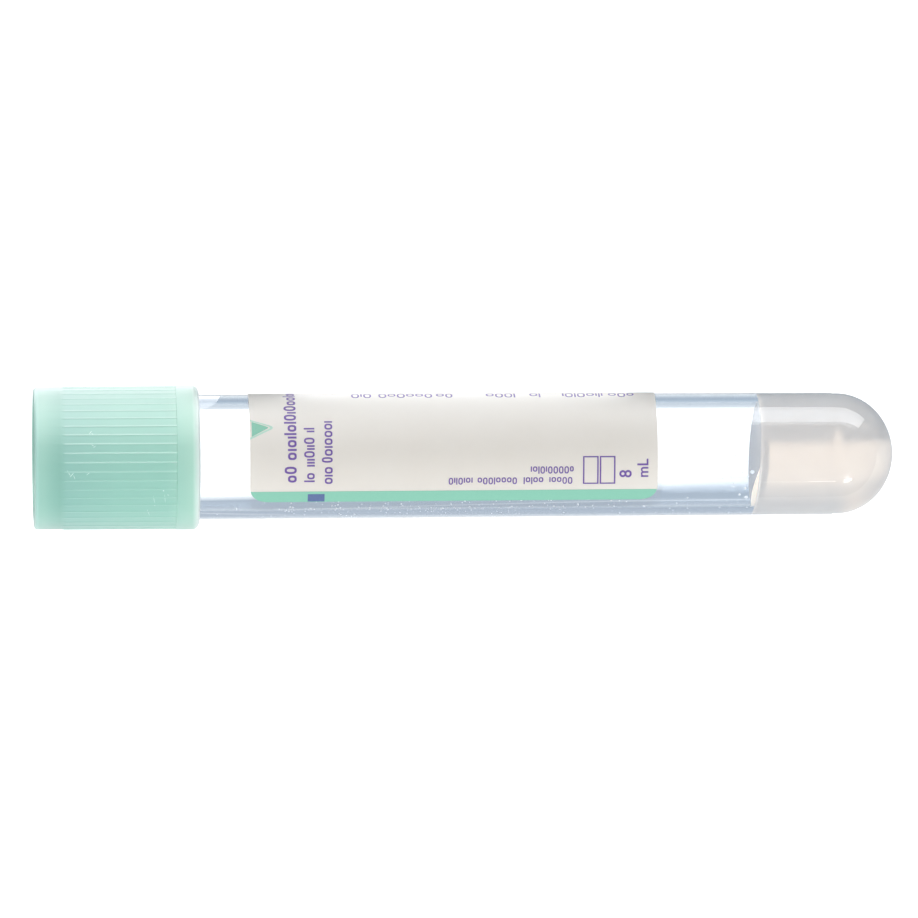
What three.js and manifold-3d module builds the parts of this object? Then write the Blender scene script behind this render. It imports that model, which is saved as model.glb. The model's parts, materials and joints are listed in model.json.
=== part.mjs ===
// Evacuated blood collection tube, 16 x 100 mm, with a shielded rubber closure, separator gel and a label.
//
// The tube lies on its side, as it comes to rest on a bench: the shield's band and the end of the tube's
// straight wall touch the surface. Millimetres, +Z up, +X from the closure towards the round bottom. The
// origin is the centre of the bounding box, at the height of the surface that the tube lies on.
//
// Each piece is drawn round one common axis. A station is the distance along that axis from the closure's top
// face, and an angle runs round it from the upward direction towards -Y.
import * as THREE from "three";
import { mergeVertices } from "three/addons/utils/BufferGeometryUtils.js";
import Module from "manifold-3d";

// ---------------------------------------------------------------- driving dimensions

const TUBE_LENGTH = 100;
const TUBE_RADIUS_AT_MOUTH = 8.0;
const TUBE_RADIUS_AT_HEEL = 7.8; // the mould's draft, mouth to heel
const DOME_HEIGHT = 7.25; // the round bottom is a little flatter than half a ball
const WALL = 1.0;
const RIM_ROUND = 0.3; // rounding of the mouth's edge
const PARTING_RISE = 0.6; // the mould's parting line stands this far above the dome,
const PARTING_STEP = 0.07; // and leaves a step of this height

const SHIELD_HEIGHT = 21.2;
const SHIELD_BAND_RADIUS = 9.25; // plain band at the skirt's end
const SHIELD_COLLAR_RADIUS = 9.12; // plain collar at the top
const CHAMBER_RADIUS = 7.8; // inside the top, round the stopper's head
const SKIRT_BORE_RADIUS = 8.3; // inside the skirt, clear of the tube's mouth
const SHIELD_EDGE_ROUND = 0.4; // at the top
const SKIRT_EDGE = [0.25, 0.3]; // at the skirt's end: across, and along
const SKIRT_LEAN = 0.35; // the skirt's end leans back from its inner edge to its outer edge
const RIB_COUNT = 48;
const RIB_START = 3.75; // station where the grip ribs begin
const RIB_END = 18.2; // station where they meet the plain band
const RIB_WIDTH = 0.42; // at the root
const RIB_CREST = 0.16; // at the top
const RIB_SINK = 0.2; // how far a rib's root lies inside the shield's wall
const RIB_SHY = 0.03; // how far its crest stays below the band
const TUBE_STANDOUT = 10.4; // from the shield's top face down to the tube's mouth

const HEAD_STATION = 4.3; // the stopper's top face, recessed in the shield
const LEDGE_STATION = 7.6; // the shield's inner ledge, which grips the stopper's neck
const LEDGE_THICKNESS = 1.0;
const NECK_RADIUS = 5.6;
const PLUG_DEPTH = 7.0; // how far the stopper goes down into the tube
const DIMPLE_RADIUS = 3.6;
const DIMPLE_DEPTH = 1.1;
const WELL_RADIUS = 3.7; // hollow in the stopper's underside
const WELL_DEPTH = 4.2;
const SEAL_RING = 0.08; // how far the plug's two sealing rings stand out
const FIT_GAP = 0.1; // clearance left between pieces that touch

const GEL_DEPTH = 17.9; // from the outside of the round bottom up to the gel's surface, on the axis
const GEL_SLOPE = 0.065; // rise of the gel's surface for each millimetre towards -Y
const GEL_GAP = 0.05;

const LABEL_START = 27.5; // station of the label's edge nearest the closure
const LABEL_LENGTH = 52.1;
const LABEL_EDGE_ANGLE = 45.5; // degrees, the label's long edge at the front
const LABEL_WRAP = 270; // degrees of the tube that it covers
const LABEL_THICKNESS = 0.1;
const LABEL_GAP = 0.05;
const LABEL_CORNER = 2.2;

const FACETS = 48; // flats round every turned piece, one for each rib; the two lowest lie in one plane
const DOME_STEPS = 9;
const CORNER_STEPS = 4;

// ---------------------------------------------------------------- derived values

const TURN = 2 * Math.PI;
const PITCH = TURN / FACETS;
const MOUTH = TUBE_STANDOUT;
const BOTTOM = MOUTH + TUBE_LENGTH;
const HEEL = BOTTOM - DOME_HEIGHT;
const PARTING_LINE = HEEL - PARTING_RISE;
const BAND_END = SHIELD_HEIGHT - SKIRT_LEAN - SKIRT_EDGE[1];
const BORE_DOME = [TUBE_RADIUS_AT_HEEL - PARTING_STEP - WALL, DOME_HEIGHT - WALL];

const { degToRad: degrees, mapLinear } = THREE.MathUtils;
const outerRadius = (station) => mapLinear(station, MOUTH, HEEL, TUBE_RADIUS_AT_MOUTH, TUBE_RADIUS_AT_HEEL);
const boreRadius = (station) => mapLinear(station, MOUTH, HEEL, TUBE_RADIUS_AT_MOUTH - WALL, BORE_DOME[0]);

// ---------------------------------------------------------------- helpers

const wasm = await Module();
wasm.setup();

// Points of a round in a profile, from one angle to another about a centre given as radius and station.
function round(radius, station, size, from, to, steps) {
  const points = [];
  for (let i = 0; i <= steps; i++) {
    const angle = degrees(THREE.MathUtils.lerp(from, to, i / steps));
    points.push([radius + size * Math.cos(angle), station + size * Math.sin(angle)]);
  }
  return points;
}

// Points of a round bottom in a profile, below the heel, from one angle to another.
function dome([radius, height], from, to) {
  const quarter = round(0, 0, 1, from, to, DOME_STEPS);
  return quarter.map(([across, down]) => [across * radius, HEEL + down * height]);
}

// A piece turned round the common axis, from a profile of [radius, station] points. A profile that stays
// clear of the axis is closed on itself. The lowest corner is drawn in, so that there is a flat to rest on.
function turned(profile) {
  const points = profile.map(([radius, station]) => new THREE.Vector2(radius < 1e-6 ? 0 : radius, station));
  if (points[0].x > 0) points.push(points[0].clone());
  const geometry = new THREE.LatheGeometry(points, FACETS, 0, TURN);
  const position = geometry.attributes.position;
  for (let i = 0; i < position.count; i++) {
    const isLowest = Math.abs(position.getX(i)) < 1e-5 && position.getZ(i) < 0;
    if (isLowest) position.setZ(i, position.getZ(i) * Math.cos(PITCH));
  }
  return geometry;
}

function toSolid(geometry) {
  const bare = geometry.index ? geometry.toNonIndexed() : geometry.clone();
  bare.deleteAttribute("normal");
  bare.deleteAttribute("uv");
  const merged = mergeVertices(bare, 1e-4);
  return new wasm.Manifold(
    new wasm.Mesh({
      numProp: 3,
      vertProperties: merged.attributes.position.array,
      triVerts: new Uint32Array(merged.index.array),
    }),
  );
}

function fromSolid(solid) {
  const mesh = solid.getMesh();
  const geometry = new THREE.BufferGeometry();
  geometry.setAttribute("position", new THREE.BufferAttribute(mesh.vertProperties, 3));
  geometry.setIndex(new THREE.BufferAttribute(mesh.triVerts, 1));
  geometry.computeVertexNormals();
  return geometry;
}

// ---------------------------------------------------------------- tube: one piece of clear plastic

function tubeGeometry() {
  const outerDome = [TUBE_RADIUS_AT_HEEL - PARTING_STEP, DOME_HEIGHT];
  return turned([
    ...dome(BORE_DOME, 90, 0),
    ...round(boreRadius(MOUTH) + RIM_ROUND, MOUTH + RIM_ROUND, RIM_ROUND, 180, 270, 2),
    ...round(TUBE_RADIUS_AT_MOUTH - RIM_ROUND, MOUTH + RIM_ROUND, RIM_ROUND, 270, 360, 2),
    [TUBE_RADIUS_AT_HEEL, PARTING_LINE],
    ...dome(outerDome, 0, 90),
  ]);
}

// ---------------------------------------------------------------- shield: one piece of tinted plastic

function shieldBody() {
  const edge = SHIELD_EDGE_ROUND;
  return turned([
    // outside, from the top face down to the skirt's end
    ...round(SHIELD_COLLAR_RADIUS - edge, edge, edge, -90, 0, CORNER_STEPS),
    [SHIELD_COLLAR_RADIUS, RIB_END],
    [SHIELD_BAND_RADIUS, RIB_END],
    [SHIELD_BAND_RADIUS, BAND_END],
    [SHIELD_BAND_RADIUS - SKIRT_EDGE[0], BAND_END + SKIRT_EDGE[1]],
    // inside, up past the ledge to the top opening
    [SKIRT_BORE_RADIUS + 0.15, SHIELD_HEIGHT],
    [SKIRT_BORE_RADIUS, SHIELD_HEIGHT - 0.3],
    [SKIRT_BORE_RADIUS, LEDGE_STATION + LEDGE_THICKNESS],
    [NECK_RADIUS + FIT_GAP, LEDGE_STATION + LEDGE_THICKNESS],
    [NECK_RADIUS + FIT_GAP, LEDGE_STATION],
    [CHAMBER_RADIUS, LEDGE_STATION],
    [CHAMBER_RADIUS, HEAD_STATION - 0.1],
    [CHAMBER_RADIUS - 0.2, HEAD_STATION - 0.5], // bead that the stopper's head snaps under
    [CHAMBER_RADIUS, HEAD_STATION - 0.9],
    [CHAMBER_RADIUS, 0.5],
    [CHAMBER_RADIUS + 0.25, 0],
  ]);
}

// One grip rib: a ridge with sloping sides that runs down the shield, with its upper end ramped.
function ribGeometry() {
  const root = SHIELD_COLLAR_RADIUS - RIB_SINK;
  const crest = SHIELD_BAND_RADIUS - RIB_SHY;
  const section = new THREE.Shape([
    new THREE.Vector2(-RIB_WIDTH / 2, root),
    new THREE.Vector2(RIB_WIDTH / 2, root),
    new THREE.Vector2(RIB_CREST / 2, crest),
    new THREE.Vector2(-RIB_CREST / 2, crest),
  ]);
  const ramp = 0.4;
  const past = 0.1; // into the band, so that the two join
  const depth = RIB_END + past - RIB_START;
  const rib = new THREE.ExtrudeGeometry(section, { depth, bevelEnabled: false });
  const position = rib.attributes.position;
  for (let i = 0; i < position.count; i++) {
    const atTop = position.getZ(i) === 0 && position.getY(i) > root;
    if (atTop) position.setZ(i, ramp);
  }
  return rib.rotateX(Math.PI / 2).rotateZ(Math.PI).translate(0, RIB_START, 0);
}

function shieldGeometry() {
  let solid = toSolid(shieldBody());
  const rib = ribGeometry();
  for (let i = 0; i < RIB_COUNT; i++) {
    const placed = rib.clone().rotateY(PITCH / 2 + (i * TURN) / RIB_COUNT);
    solid = solid.add(toSolid(placed));
  }
  return fromSolid(solid);
}

// ---------------------------------------------------------------- stopper: one piece of moulded rubber

function stopperGeometry() {
  const head = CHAMBER_RADIUS - 0.3;
  const headEnd = LEDGE_STATION - FIT_GAP;
  const flangeStart = LEDGE_STATION + LEDGE_THICKNESS + FIT_GAP;
  const flangeEnd = MOUTH - FIT_GAP;
  const flange = TUBE_RADIUS_AT_MOUTH;
  const end = MOUTH + PLUG_DEPTH;
  const plug = boreRadius(end) - FIT_GAP - SEAL_RING;
  const ring = (station) => [
    [plug, station - 0.5],
    [plug + SEAL_RING, station - 0.2],
    [plug + SEAL_RING, station + 0.2],
    [plug, station + 0.5],
  ];
  return turned([
    // top: a shallow dimple that guides the needle
    [0, HEAD_STATION + DIMPLE_DEPTH],
    [DIMPLE_RADIUS * 0.5, HEAD_STATION + DIMPLE_DEPTH * 0.9],
    [DIMPLE_RADIUS * 0.85, HEAD_STATION + DIMPLE_DEPTH * 0.55],
    [DIMPLE_RADIUS, HEAD_STATION],
    // head, neck through the shield's ledge, and flange on the tube's mouth
    [head - 0.4, HEAD_STATION],
    [head, HEAD_STATION + 0.4],
    [head, headEnd],
    [NECK_RADIUS, headEnd],
    [NECK_RADIUS, flangeStart],
    [flange, flangeStart],
    [flange, flangeEnd],
    // plug, with its sealing rings, and the tapered well in its underside
    [plug, flangeEnd],
    ...ring(end - 4.4),
    ...ring(end - 2.0),
    [plug - 0.5, end - 0.6],
    [plug - 1.1, end],
    [WELL_RADIUS, end],
    [WELL_RADIUS - 0.5, end - WELL_DEPTH + 0.5],
    [WELL_RADIUS - 1.2, end - WELL_DEPTH],
    [0, end - WELL_DEPTH],
  ]);
}

// ---------------------------------------------------------------- gel: one body, set in the round bottom

function gelGeometry() {
  const surface = BOTTOM - GEL_DEPTH;
  const gel = turned([
    [0, surface],
    [boreRadius(surface) - GEL_GAP, surface],
    ...dome(BORE_DOME.map((size) => size - GEL_GAP), 0, 90),
  ]);
  // the surface set a little askew, higher towards -Y
  const position = gel.attributes.position;
  for (let i = 0; i < position.count; i++) {
    const onSurface = position.getY(i) < surface + 0.01;
    if (onSurface) position.setY(i, surface - GEL_SLOPE * position.getX(i));
  }
  return gel;
}

// ---------------------------------------------------------------- label: one sheet, wrapped round the tube

// How far the sheet's end is cut back at a distance from its long edge, for a rounded corner.
function cornerInset(distance) {
  const short = Math.max(LABEL_CORNER - distance, 0);
  return LABEL_CORNER - Math.sqrt(LABEL_CORNER ** 2 - short ** 2);
}

function labelGeometry() {
  const width = degrees(LABEL_WRAP) * TUBE_RADIUS_AT_MOUTH;
  const columns = []; // distances round the tube from the front long edge
  for (let i = 0; i < CORNER_STEPS; i++) {
    columns.push(LABEL_CORNER * (1 - Math.cos((Math.PI / 2) * (i / CORNER_STEPS))));
  }
  const plain = Math.ceil(LABEL_WRAP / (360 / FACETS));
  for (let i = 0; i <= plain; i++) {
    columns.push(THREE.MathUtils.lerp(LABEL_CORNER, width - LABEL_CORNER, i / plain));
  }
  for (let i = CORNER_STEPS - 1; i >= 0; i--) columns.push(width - columns[i]);

  // Four points for each column: inner and outer face, at the end nearest the closure and at the far end.
  const vertices = [];
  for (const distance of columns) {
    const angle = degrees(LABEL_EDGE_ANGLE) - distance / TUBE_RADIUS_AT_MOUTH;
    const inset = cornerInset(Math.min(distance, width - distance));
    const ends = [LABEL_START + inset, LABEL_START + LABEL_LENGTH - inset];
    for (const station of ends) {
      for (const rise of [LABEL_GAP, LABEL_GAP + LABEL_THICKNESS]) {
        const radius = outerRadius(station) + rise;
        vertices.push(radius * Math.sin(angle), station, radius * Math.cos(angle));
      }
    }
  }
  const faces = [];
  const quad = (a, b, c, d) => faces.push(a, b, c, a, c, d);
  for (let i = 0; i < columns.length - 1; i++) {
    const [nearIn, nearOut, farIn, farOut] = [0, 1, 2, 3].map((k) => 4 * i + k);
    const step = 4;
    quad(nearOut, farOut, farOut + step, nearOut + step);
    quad(nearIn, nearIn + step, farIn + step, farIn);
    quad(nearIn, nearOut, nearOut + step, nearIn + step);
    quad(farIn, farIn + step, farOut + step, farOut);
  }
  const last = 4 * (columns.length - 1);
  quad(0, 2, 3, 1);
  quad(last, last + 1, last + 3, last + 2);
  const geometry = new THREE.BufferGeometry();
  geometry.setAttribute("position", new THREE.Float32BufferAttribute(vertices, 3));
  geometry.setIndex(faces);
  geometry.computeVertexNormals();
  return geometry;
}

// ---------------------------------------------------------------- materials

const clearPlastic = new THREE.MeshStandardMaterial({
  color: 0xe4edf5,
  roughness: 0.08,
  metalness: 0,
  transparent: true,
  opacity: 0.3,
});
const tintedPlastic = new THREE.MeshStandardMaterial({ color: 0x97cdbb, roughness: 0.42, metalness: 0 });
const rubber = new THREE.MeshStandardMaterial({ color: 0x79b3a8, roughness: 0.7, metalness: 0 });
const gelMaterial = new THREE.MeshStandardMaterial({ color: 0xe9e1da, roughness: 0.25, metalness: 0 });
const paper = new THREE.MeshStandardMaterial({ color: 0xefece8, roughness: 0.6, metalness: 0 });

// ---------------------------------------------------------------- assembly

function named(name, geometry, material) {
  const mesh = new THREE.Mesh(geometry, material);
  mesh.name = name;
  return mesh;
}

const onAxis = new THREE.Group(); // stations along +Y
onAxis.add(
  named("tube", tubeGeometry(), clearPlastic),
  named("separator_gel", gelGeometry(), gelMaterial),
  named("label", labelGeometry(), paper),
  named("closure_shield", shieldGeometry(), tintedPlastic),
  named("rubber_stopper", stopperGeometry(), rubber),
);
onAxis.rotation.z = -Math.PI / 2; // stations along +X

// Laid down: the shield's band and the tube's parting line rest on one level.
const lyingTube = new THREE.Group();
const drop = (SHIELD_BAND_RADIUS - TUBE_RADIUS_AT_HEEL) * Math.cos(PITCH);
const restTilt = Math.atan2(drop, PARTING_LINE - BAND_END);
lyingTube.add(onAxis);
lyingTube.rotation.y = restTilt;

const bounds = new THREE.Box3().setFromObject(lyingTube, true);
const centre = bounds.getCenter(new THREE.Vector3());
lyingTube.position.set(-centre.x, -centre.y, -bounds.min.z);

const bloodCollectionTube = new THREE.Group();
bloodCollectionTube.add(lyingTube);

export default bloodCollectionTube;
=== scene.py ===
import json
import math
import random

import bmesh
import bpy
from mathutils import Matrix, Vector


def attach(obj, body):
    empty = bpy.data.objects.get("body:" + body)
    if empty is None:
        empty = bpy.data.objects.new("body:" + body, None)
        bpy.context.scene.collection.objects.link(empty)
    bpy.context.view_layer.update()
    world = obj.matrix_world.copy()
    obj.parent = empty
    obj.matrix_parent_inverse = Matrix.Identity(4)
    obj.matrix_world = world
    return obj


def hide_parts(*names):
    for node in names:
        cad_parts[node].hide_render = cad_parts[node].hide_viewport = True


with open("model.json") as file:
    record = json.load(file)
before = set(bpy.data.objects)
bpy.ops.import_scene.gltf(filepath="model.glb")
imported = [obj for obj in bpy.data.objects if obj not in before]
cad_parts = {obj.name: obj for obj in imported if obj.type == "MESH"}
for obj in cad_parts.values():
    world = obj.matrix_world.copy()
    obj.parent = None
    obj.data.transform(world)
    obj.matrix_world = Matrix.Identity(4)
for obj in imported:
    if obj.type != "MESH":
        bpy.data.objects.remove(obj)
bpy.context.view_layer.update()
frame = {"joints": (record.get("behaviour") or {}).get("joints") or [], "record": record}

# ---------------------------------------------------------------- clear tube
# Injection-moulded clear polyester, one piece: a straight bore with a little draft, a rounded lip, and a
# round bottom that starts at the mould's parting line. It lies on its side, cap end slightly higher, so
# every piece is drawn along its own axis (station, from the cap's top face) and then laid in place.

MM = 0.001
MOUTH = 10.4           # station of the tube's open end
HEEL = 103.15          # station where the round bottom begins
MOUTH_RADIUS = 8.0
HEEL_RADIUS = 7.8
BORE_AT_MOUTH = 7.0
BORE_AT_HEEL = 6.73
DOME = (7.73, 7.25)    # radius and depth of the round bottom, outside
BORE_DOME = (6.73, 6.25)
PARTING_RISE = 0.6
TUBE_COLUMNS = 240
CAP_TOP_POINT_RADIUS = 8.4    # the record's mount lies this far above the axis


def lying_place():
    """The matrix that lays a piece drawn along its own axis where the tube lies."""
    towards_bottom = -Vector(frame["joints"][0]["axis"]).normalized()
    sideways = Vector((0, 1, 0))
    upwards = towards_bottom.cross(sideways).normalized()
    cap_top = Vector(frame["record"]["mounts"][0]["pos_m"])
    place = Matrix((towards_bottom, sideways, upwards)).transposed().to_4x4()
    place.translation = cap_top - upwards * CAP_TOP_POINT_RADIUS * MM
    return place


def between(station, at_mouth, at_heel):
    """A size that tapers along the tube with the mould's draft."""
    return at_mouth + (at_heel - at_mouth) * (station - MOUTH) / (HEEL - MOUTH)


def around(station, radius, angle):
    """A point round the tube's axis: angle in radians, from straight up towards the front."""
    return Vector((station, -radius * math.sin(angle), radius * math.cos(angle)))


def rounded(corners, steps=4):
    """A closed outline whose corners, (station, radius, round), are cut as arcs of that round."""
    outline = []
    for i, (station, radius, size) in enumerate(corners):
        here = Vector((station, radius))
        if not size:
            outline.append(tuple(here))
            continue
        back = (Vector(corners[i - 1][:2]) - here).normalized()
        ahead = (Vector(corners[(i + 1) % len(corners)][:2]) - here).normalized()
        half = back.angle(ahead) / 2
        centre = here + (back + ahead).normalized() * size / math.sin(half)
        first = here + back * size / math.tan(half) - centre
        last = here + ahead * size / math.tan(half) - centre
        start = math.atan2(first.y, first.x)
        sweep = math.atan2(last.y, last.x) - start
        sweep = (sweep + math.pi) % (2 * math.pi) - math.pi
        for k in range(steps + 1):
            turn = start + sweep * k / steps
            outline.append((centre.x + size * math.cos(turn), centre.y + size * math.sin(turn)))
    return outline


def round_bottom(size, steps, inner=False):
    """Outline points of a round bottom, from its heel to the tip on the axis."""
    points = []
    for k in range(steps + 1):
        turn = math.pi / 2 * k / steps
        points.append((HEEL + size[1] * math.sin(turn), max(size[0] * math.cos(turn), 0)))
    return points[::-1] if inner else points


def laid(name, mesh, finish, sharp_degrees=35):
    """The object for a mesh drawn in millimetres along the axis, laid in place and smooth but for edges."""
    mesh.transform(lying_place() @ Matrix.Scale(MM, 4))
    for face in mesh.polygons:
        face.use_smooth = True
    mesh.set_sharp_from_angle(angle=math.radians(sharp_degrees))
    piece = bpy.data.objects.new(name, mesh)
    piece.data.materials.append(finish)
    bpy.context.scene.collection.objects.link(piece)
    return piece


def facing_out(mesh):
    """Turns the faces of a closed mesh outwards."""
    shaped = bmesh.new()
    shaped.from_mesh(mesh)
    bmesh.ops.recalc_face_normals(shaped, faces=shaped.faces)
    shaped.to_mesh(mesh)
    shaped.free()


def turned(name, outline, angles, relief=None):
    """A mesh turned from an outline of (station, radius); points on the axis are its poles."""
    mesh = bpy.data.meshes.new(name)
    vertices, rings = [], []
    for station, radius in outline:
        if radius < 1e-5:
            rings.append([len(vertices)] * len(angles))
            vertices.append((station, 0, 0))
            continue
        rings.append(range(len(vertices), len(vertices) + len(angles)))
        for angle in angles:
            swell = relief(station, radius, angle) if relief else 0
            vertices.append(around(station, radius + swell, angle))
    closed = outline[0][1] > 1e-5
    faces = []
    for i in range(len(rings) if closed else len(rings) - 1):
        ring, after = rings[i], rings[(i + 1) % len(rings)]
        for k in range(len(angles)):
            n = (k + 1) % len(angles)
            corners = [ring[k], ring[n], after[n], after[k]]
            faces.append(list(dict.fromkeys(corners)))
    mesh.from_pydata(vertices, [], faces)
    facing_out(mesh)
    return mesh


def evenly(count):
    return [2 * math.pi * k / count for k in range(count)]


def seen(red, green, blue):
    """A colour written as it is seen, 0 to 255, as the shader's linear value."""
    def linear(level):
        level /= 255
        return level / 12.92 if level <= 0.04045 else ((level + 0.055) / 1.055) ** 2.4
    return (linear(red), linear(green), linear(blue), 1)


def new_finish(name):
    """A material with its nodes, its links and its Principled shader."""
    finish = bpy.data.materials.new(name)
    finish.use_nodes = True
    tree = finish.node_tree
    return finish, tree.nodes, tree.links, tree.nodes["Principled BSDF"]


def group_of(name, inputs, outputs):
    """An empty shader node group with its sockets; each is (name, type, value)."""
    group = bpy.data.node_groups.new(name, "ShaderNodeTree")
    for label, kind, value in inputs:
        socket = group.interface.new_socket(label, in_out="INPUT", socket_type=kind)
        socket.default_value = value
    for label, kind in outputs:
        group.interface.new_socket(label, in_out="OUTPUT", socket_type=kind)
    nodes = group.nodes
    return group, nodes, group.links, nodes.new("NodeGroupInput"), nodes.new("NodeGroupOutput")


def ramped(nodes, links, value, start, full):
    """A share that is 0 up to one value and 1 from another, straight in between."""
    ramp = nodes.new("ShaderNodeMapRange")
    ramp.inputs["From Min"].default_value = start
    ramp.inputs["From Max"].default_value = full
    links.new(value, ramp.inputs["Value"])
    return ramp


def along_the_axis_group():
    """Long faint streaks and flecks that moulding and handling leave: a mask and a height."""
    group, nodes, links, given, result = group_of(
        "moulding_streaks",
        [("Streaks per mm", "NodeSocketFloat", 1.0), ("Stretch", "NodeSocketFloat", 0.08)],
        [("Mask", "NodeSocketFloat"), ("Height", "NodeSocketFloat")],
    )
    where = nodes.new("ShaderNodeTexCoord")
    stretch = nodes.new("ShaderNodeCombineXYZ")
    stretch.inputs["Y"].default_value = 1
    stretch.inputs["Z"].default_value = 1
    links.new(given.outputs["Stretch"], stretch.inputs["X"])
    scaled = nodes.new("ShaderNodeVectorMath")
    scaled.operation = "MULTIPLY"
    links.new(where.outputs["Object"], scaled.inputs[0])
    links.new(stretch.outputs["Vector"], scaled.inputs[1])
    per_metre = nodes.new("ShaderNodeMath")
    per_metre.operation = "DIVIDE"
    per_metre.inputs[1].default_value = MM
    links.new(given.outputs["Streaks per mm"], per_metre.inputs[0])
    streak = nodes.new("ShaderNodeTexNoise")
    streak.inputs["Detail"].default_value = 3
    streak.inputs["Roughness"].default_value = 0.55
    links.new(scaled.outputs["Vector"], streak.inputs["Vector"])
    links.new(per_metre.outputs["Value"], streak.inputs["Scale"])
    spread = ramped(nodes, links, streak.outputs["Fac"], 0.35, 0.65)
    links.new(spread.outputs["Result"], result.inputs["Mask"])
    links.new(streak.outputs["Fac"], result.inputs["Height"])
    return group


def mottling(nodes, links, per_mm, detail=2, over=None):
    """An even random mottling, of so many blotches to the millimetre."""
    blotches = nodes.new("ShaderNodeTexNoise")
    blotches.inputs["Scale"].default_value = per_mm / MM
    blotches.inputs["Detail"].default_value = detail
    if over is not None:
        links.new(over.outputs["Object"], blotches.inputs["Vector"])
    return blotches.outputs["Fac"]


def roughened(nodes, links, shader, mask, low, high):
    """Gives the surface a roughness that wanders between two values."""
    rough = nodes.new("ShaderNodeMapRange")
    rough.inputs["To Min"].default_value = low
    rough.inputs["To Max"].default_value = high
    links.new(mask, rough.inputs["Value"])
    links.new(rough.outputs["Result"], shader.inputs["Roughness"])


def chosen(nodes, links, otherwise, choices):
    """Shows one face or another by the kind of light ray that asks; a later choice wins."""
    for when, face in choices:
        choice = nodes.new("ShaderNodeMixShader")
        links.new(when, choice.inputs["Fac"])
        links.new(otherwise, choice.inputs[1])
        links.new(face, choice.inputs[2])
        otherwise = choice.outputs["Shader"]
    return otherwise


def lets_lamps_through(nodes, links, shader):
    """Mixes clear plastic with nothing for shadow rays, so that the lamps light what is behind it."""
    path = nodes.new("ShaderNodeLightPath")
    nothing = nodes.new("ShaderNodeBsdfTransparent")
    for_shadows = (path.outputs["Is Shadow Ray"], nothing.outputs["BSDF"])
    shown = chosen(nodes, links, shader.outputs["BSDF"], [for_shadows])
    links.new(shown, nodes["Material Output"].inputs["Surface"])


streaks_group = along_the_axis_group()

clear_plastic, nodes, links, shader = new_finish("clear_polyester")
shader.inputs["Base Color"].default_value = (1, 1, 1, 1)
shader.inputs["Transmission Weight"].default_value = 1
shader.inputs["IOR"].default_value = 1.57
streaks = nodes.new("ShaderNodeGroup")
streaks.node_tree = streaks_group
streaks.inputs["Streaks per mm"].default_value = 0.9
roughened(nodes, links, shader, streaks.outputs["Mask"], 0.0, 0.05)
tint = nodes.new("ShaderNodeVolumeAbsorption")
tint.inputs["Color"].default_value = (0.30, 0.62, 0.90, 1)
tint.inputs["Density"].default_value = 95
links.new(tint.outputs["Volume"], nodes["Material Output"].inputs["Volume"])
lets_lamps_through(nodes, links, shader)
where = nodes.new("ShaderNodeTexCoord")    # the round bottom is finely pitted, so lamps sparkle in it
station_of = nodes.new("ShaderNodeSeparateXYZ")
links.new(where.outputs["Object"], station_of.inputs["Vector"])
pitted = ramped(nodes, links, station_of.outputs["X"], 47 * MM, 49 * MM)
pits = mottling(nodes, links, 2.5, over=where)
pitting = nodes.new("ShaderNodeBump")
pitting.inputs["Distance"].default_value = 0.003 * MM
links.new(pitted.outputs["Result"], pitting.inputs["Strength"])
links.new(pits, pitting.inputs["Height"])
links.new(pitting.outputs["Normal"], shader.inputs["Normal"])
mouth_end = (lying_place() @ (Vector((MOUTH, 0, 0)) * MM)).x
# painted glow: the lip emits a faint blue-grey light of its own, standing in for light that travels along the
# wall
edge_lit = ramped(nodes, links, station_of.outputs["X"], mouth_end + 0.55 * MM, mouth_end + 0.3 * MM)
painted_lip_glow = nodes.new("ShaderNodeMix")
painted_lip_glow.data_type = "RGBA"
painted_lip_glow.inputs["A"].default_value = (0, 0, 0, 1)
painted_lip_glow.inputs["B"].default_value = (0.24, 0.32, 0.38, 1)
links.new(edge_lit.outputs["Result"], painted_lip_glow.inputs["Factor"])
links.new(painted_lip_glow.outputs["Result"], shader.inputs["Emission Color"])
shader.inputs["Emission Strength"].default_value = 1

tube_outline = (
    round_bottom(BORE_DOME, 40, inner=True)
    + rounded([
        (HEEL - 1, between(HEEL - 1, BORE_AT_MOUTH, BORE_AT_HEEL), 0),
        (MOUTH + 3, between(MOUTH + 3, BORE_AT_MOUTH, BORE_AT_HEEL), 0),
        (MOUTH, BORE_AT_MOUTH, 0.3),
        (MOUTH, MOUTH_RADIUS, 0.35),
        (MOUTH + 3, between(MOUTH + 3, MOUTH_RADIUS, HEEL_RADIUS), 0),
        (HEEL - PARTING_RISE, HEEL_RADIUS, 0.03),
        (HEEL - PARTING_RISE + 0.03, DOME[0], 0),
    ], 5)
    + round_bottom(DOME, 48)
)
tube = laid("clear_tube", turned("clear_tube", tube_outline, evenly(TUBE_COLUMNS)), clear_plastic)
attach(tube, "tube")
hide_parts("tube")

# ---------------------------------------------------------------- separator gel
# A thick milky gel that fills the round bottom and wets the wall. It was poured warm with the tube held a
# little askew, so its free surface is a shallow dish that stands higher on the front side.

GEL_TOP = 92.45         # station of the contact ring, on the axis
GEL_TILT = (0.05, 0.07) # how much further from the cap it is, for each millimetre backwards and upwards
GEL_DISH = 1.8
GEL_BITE = 0.02         # the gel reaches this far into the wall, so that no air shows between them


def two_tones(nodes, links, shader, mask, first, second):
    """Gives the surface a colour that wanders between two tones."""
    mix = nodes.new("ShaderNodeMix")
    mix.data_type = "RGBA"
    mix.inputs["A"].default_value = first
    mix.inputs["B"].default_value = second
    links.new(mask, mix.inputs["Factor"])
    links.new(mix.outputs["Result"], shader.inputs["Base Color"])
    return mix.outputs["Result"]


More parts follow.
